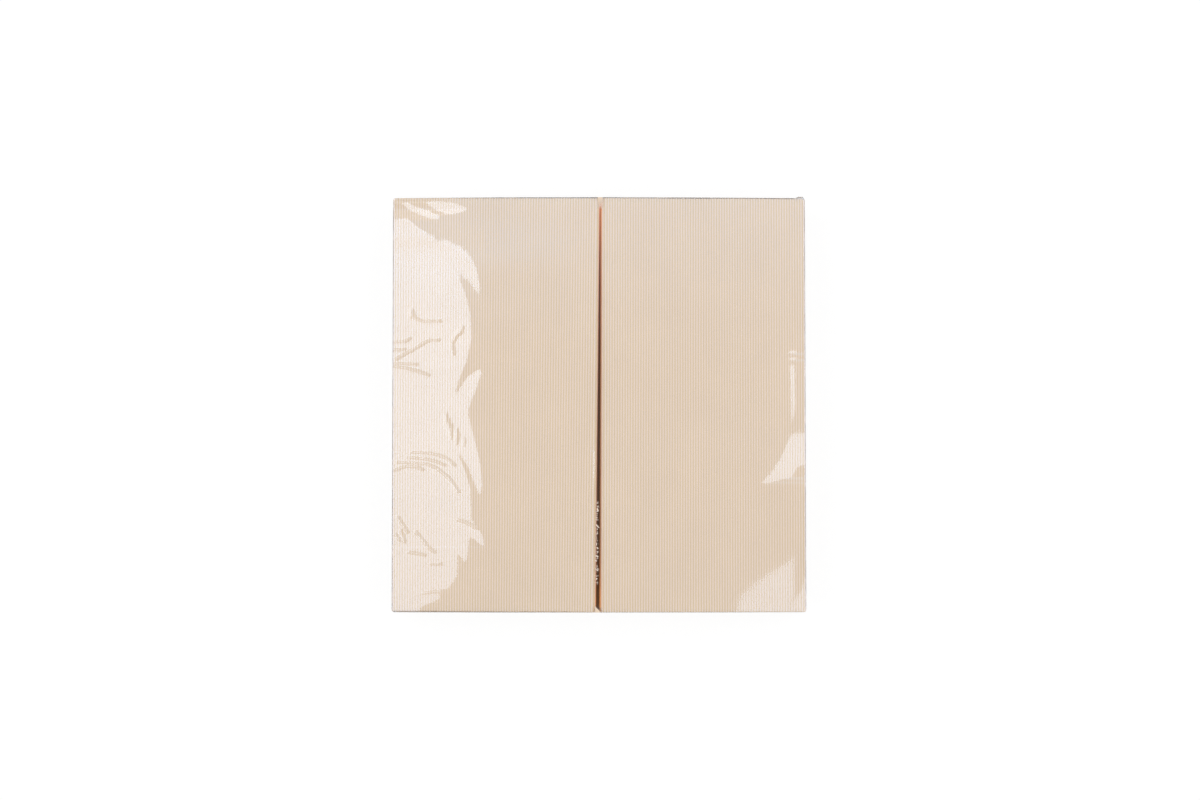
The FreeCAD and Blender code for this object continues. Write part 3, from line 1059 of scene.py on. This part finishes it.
def film_material():
    material, tree = new_material("clear_film")
    spot = tree.node("ShaderNodeTexCoord")["Object"]
    parts = tree.node("ShaderNodeSeparateXYZ", {0: spot})
    x, y, z = parts[0] / MM, parts[1] / MM, parts[2] / MM
    long_way = tree.node("ShaderNodeMapping", {"Vector": spot, "Scale": RIPPLE_SCALE})[0]
    ripple = tree.noise(long_way, 1.0, 0.0)
    bump = tree.node("ShaderNodeBump", {"Strength": 0.1, "Distance": 0.00005, "Height": ripple})

    def limited(value):
        return tree.node("ShaderNodeClamp", {"Value": value})[0]

    facing = tree.node("ShaderNodeLayerWeight", {"Blend": 0.5})["Facing"]
    mirror = FACE_MIRROR + (1 - FACE_MIRROR) * facing**5
    # Painted reflection: the mirror's colour is tinted blue and dimmer towards the front.
    in_front = limited((TINT_TURNS - y) / TINT_LENGTH)
    painted_reflection_tint = tree.mix_colours(in_front, REFLECTION_PAINTED_TINT, REFLECTION_PAINTED_TINT_IN_FRONT)
    clear = tree.node("ShaderNodeBsdfTransparent", {"Color": (0.99, 0.99, 0.99, 1)})
    gloss = tree.node("ShaderNodeBsdfPrincipled", {
        "Base Color": tree.mix_colours(limited((facing - 0.3) * 3), painted_reflection_tint, (1, 1, 1, 1)),
        "Metallic": 1.0,
        "Roughness": 0.05,
        "Normal": bump["Normal"],
    })
    film = tree.node("ShaderNodeMixShader", {0: mirror, 1: clear["BSDF"], 2: gloss["BSDF"]})

    # Painted glints: pale specks in a noise pattern along the front part of the gap.
    slant = (SPECKS_X_BACK - SPECKS_X_FRONT) / (SPECKS_BACK - SPECKS_FRONT)
    from_line = (x - SPECKS_X_FRONT - (y - SPECKS_FRONT) * slant).size()
    grain = tree.noise(spot, SPECK_SCALE, 1.0)
    along = limited((y - SPECKS_FRONT) / 3) * limited((SPECKS_BACK - y) / 3)
    specks = limited((grain - SPECK_LIMIT - from_line * SPECK_FALL) * SPECK_SHARPNESS) * along
    # Painted light: a paper-coloured patch over each end of the gap.
    front_width = limited((GAP_END_HALF_WIDTH - (x - GAP_END_FRONT_X).size()) * 2)
    back_width = limited((GAP_END_HALF_WIDTH - (x - GAP_END_BACK_X).size()) * 2)
    at_front = limited((GAP_END_FRONT - y - (x + 1.7)) * 2) * front_width
    at_back = limited((y - GAP_END_BACK) / 6) * back_width
    on_top = limited((z - (SEAL_HEIGHT + PAINTED_LIGHT_RISE)) / 2)
    painted_gap_end_light = limited(at_front + at_back)
    painted_glints_and_light = limited(specks * SPECK_SHARE + painted_gap_end_light) * on_top * PAINTED_LIGHT_SHARE
    # An opaque, pale shader for the painted glints and painted light.
    white = tree.node("ShaderNodeBsdfPrincipled", {
        "Base Color": tree.mix_colours(painted_gap_end_light, PAINTED_GLINT_COLOUR, GAP_END_PAINTED_LIGHT_COLOUR),
        "Roughness": 0.7,
    })
    mixed = tree.node("ShaderNodeMixShader", {0: painted_glints_and_light, 1: film[0], 2: white["BSDF"]})
    tree.node("ShaderNodeOutputMaterial", {"Surface": mixed[0]})
    return material


clear_film = film_material()
film.data.materials.clear()
film.data.materials.append(clear_film)

# %% Lay the seams along both ends
seams = seam_tree(clear_film)
seam_objects = []
for end, way in (("front", -1), ("back", 1)):
    x = np.linspace(-SIDE_BEND - EAR_REACH, SIDE_BEND + EAR_REACH, SEAM_STATIONS)
    stand = END_BEND + FILM_EDGE_RADIUS + seal_bulge(np.clip(x, -SIDE_BEND, SIDE_BEND), end)
    stand = stand - EAR_SWEEP * smooth_step(np.abs(x), SIDE_BEND - 0.5, SIDE_BEND + EAR_REACH)
    y = way * (stand + SEAM_WIDTH / 2 - FILM_GAUGE)
    line = np.stack([x, y, np.full(x.shape, SEAL_HEIGHT)], axis=-1)
    mesh = bpy.data.meshes.new("seam_path")
    mesh.from_pydata((line * MM).tolist(), [(i, i + 1) for i in range(len(x) - 1)], [])
    seam = new_object(f"seam_{end}", mesh)
    run_tree(seam, seams, {"Width": SEAM_WIDTH * MM, "Gauge": SEAM_GAUGE * MM})
    seam_objects.append(seam)
    print(seam.name, "triangles:", triangles(seam))

bpy.ops.object.select_all(action="DESELECT")
for part in (*seam_objects, film):
    part.select_set(True)
bpy.context.view_layer.objects.active = film
bpy.ops.object.join()
film.data.name = "film_skin"
print("film triangles:", triangles(film), "materials:", len(film.data.materials))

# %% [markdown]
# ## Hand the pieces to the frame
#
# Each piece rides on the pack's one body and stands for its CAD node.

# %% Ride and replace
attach(film, "root")
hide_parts("film_wrap")
for napkin, side, number in napkins:
    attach(napkin, "root")
    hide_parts(f"napkin_{side}_{number:02d}")

# %% [markdown]
# ## Floor, lamps and camera
#
# The floor is white. For the camera it glows a little by itself, so the page around
# the pack is as white as in the photograph, and the rest of its light still shows
# the pack's soft shadow. Under the pack its glow is a dark brown: painted light, the
# colour of what little light has come through the paper to the bottom of the gap.

# %% Floor
FLOOR_HALF = 3.0
FLOOR_DROP = 0.0002
FLOOR_GLOW = 0.85
FLOOR_STRENGTH = 1.05
DARK_MARGIN = 1.2
# Painted light: the dark brown glow of the floor under the pack.
UNDER_PACK_PAINTED_LIGHT = (0.088, 0.042, 0.020, 1)


def floor_material():
    material, tree = new_material("studio_floor")
    rays = tree.node("ShaderNodeLightPath")
    seen = rays["Is Camera Ray"].math("MAXIMUM", rays["Is Camera Ray"], rays["Is Glossy Ray"])
    seen = seen.math("MAXIMUM", seen, rays["Is Transmission Ray"])
    spot = tree.node("ShaderNodeSeparateXYZ", {0: tree.node("ShaderNodeTexCoord")["Object"]})
    farthest = spot[0].math("MAXIMUM", spot[0].size(), spot[1].size())
    clear_of_pack = farthest.math("GREATER_THAN", farthest, (SIDE_BEND + DARK_MARGIN) * MM)
    white = tree.node("ShaderNodeBsdfDiffuse", {"Color": (0.82, 0.82, 0.82, 1)})
    # Painted light: under the pack the floor's glow is dark brown.
    colour = tree.mix_colours(clear_of_pack, UNDER_PACK_PAINTED_LIGHT, (1, 1, 1, 1))
    glow = tree.node("ShaderNodeEmission", {"Color": colour, "Strength": FLOOR_STRENGTH})
    share = seen * FLOOR_GLOW
    mixed = tree.node("ShaderNodeMixShader", {0: share, 1: white["BSDF"], 2: glow[0]})
    tree.node("ShaderNodeOutputMaterial", {"Surface": mixed[0]})
    return material


floor_mesh = bpy.data.meshes.new("floor")
corners = [(-1, -1), (1, -1), (1, 1), (-1, 1)]
floor_points = [(x * FLOOR_HALF, y * FLOOR_HALF, -FLOOR_DROP) for x, y in corners]
floor_mesh.from_pydata(floor_points, [], [(0, 1, 2, 3)])
floor_obj = new_object("floor", floor_mesh)
floor_obj.data.materials.append(floor_material())

# %% Lamps
LEFT_LAMP_LIGHT = 2.66
RIGHT_LAMP_LIGHT = 2.45
LAMP_COLOUR = (0.92, 1.0, 1.08)


def softbox(name, x_range, y_range, radiance):
    """A level softbox; a lamp's watts are its radiance times pi times its area."""
    width = (x_range[1] - x_range[0]) * MM
    depth = (y_range[1] - y_range[0]) * MM
    light = bpy.data.lights.new(name, "AREA")
    light.shape = "RECTANGLE"
    light.size = width
    light.size_y = depth
    light.energy = radiance * math.pi * width * depth
    light.color = LAMP_COLOUR
    lamp = new_object(name, light)
    lamp.location = (sum(x_range) / 2 * MM, sum(y_range) / 2 * MM, LAMP_LEVEL * MM)
    lamp.visible_camera = False


softbox("softbox_left", LEFT_LAMP_X, LEFT_LAMP_Y, LEFT_LAMP_LIGHT)
softbox("softbox_right", RIGHT_LAMP_X, RIGHT_LAMP_Y, RIGHT_LAMP_LIGHT)

# %% [markdown]
# The flat part of the film mirrors what hangs straight over it. In the photograph
# that is a dim ceiling, so the gap between the stacks stays brown, and a bluish
# window behind, which lightens the back of the pack. The light from all other
# directions is even and nearly white.

# %% World
AIR_LIGHT = 0.82
CEILING_LIGHT = 0.04
CEILING_LIGHT_BEHIND = 0.18
WINDOW_LIGHT = 0.95
# Where the ceiling, its lighter back and the window begin, as parts of a direction.
CEILING_EDGE = (0.955, 0.975)
BEHIND_EDGE = (-0.05, 0.06)
WINDOW_EDGE = (0.05, 0.16)

world = bpy.data.worlds.new("studio")
bpy.context.scene.world = world
world.use_nodes = True
world.node_tree.nodes.clear()
sky = Tree(world.node_tree)
way = sky.node("ShaderNodeSeparateXYZ", {0: sky.node("ShaderNodeTexCoord")["Generated"]})


def soft_range(value, low, high):
    """0 up to low, 1 from high on, and smooth in between."""
    limits = {"Value": value, "From Min": low, "From Max": high}
    return sky.node("ShaderNodeMapRange", limits, interpolation_type="SMOOTHSTEP")[0]


overhead = soft_range(way[2], *CEILING_EDGE)
behind = soft_range(way[1], *BEHIND_EDGE)
ceiling = CEILING_LIGHT + behind * (CEILING_LIGHT_BEHIND - CEILING_LIGHT)
window = overhead * soft_range(way[1], *WINDOW_EDGE) * WINDOW_LIGHT
strength = overhead * ceiling + (1 - overhead) * AIR_LIGHT
air = sky.node("ShaderNodeBackground", {"Color": (1, 0.99, 0.97, 1), "Strength": strength})
blue = sky.node("ShaderNodeBackground", {"Color": (0.25, 0.65, 1.0, 1), "Strength": window})
both = sky.node("ShaderNodeAddShader", {0: air[0], 1: blue[0]})
page = sky.node("ShaderNodeBackground", {"Color": (1, 1, 1, 1), "Strength": 1.0})
rays = sky.node("ShaderNodeLightPath")
either = sky.node("ShaderNodeMixShader", {0: rays["Is Camera Ray"], 1: both[0], 2: page[0]})
sky.node("ShaderNodeOutputWorld", {"Surface": either[0]})

# %% Camera
SENSOR = 36.0

camera_data = bpy.data.cameras.new("camera")
camera_data.sensor_width = SENSOR
camera_data.lens = SENSOR * CAMERA_DISTANCE / (PHOTO_WIDTH * MM_PER_PIXEL)
camera_data.shift_x = -(PACK_MIDDLE_PX[0] - PHOTO_WIDTH / 2) / PHOTO_WIDTH
camera_data.shift_y = (PACK_MIDDLE_PX[1] - PHOTO_HEIGHT / 2) / PHOTO_WIDTH
camera = new_object("camera", camera_data)
camera.location = CAMERA_PLACE * MM
camera.rotation_euler = (CAMERA_LEAN, 0, 0)
bpy.context.scene.camera = camera
bpy.context.scene.view_settings.view_transform = "Standard"
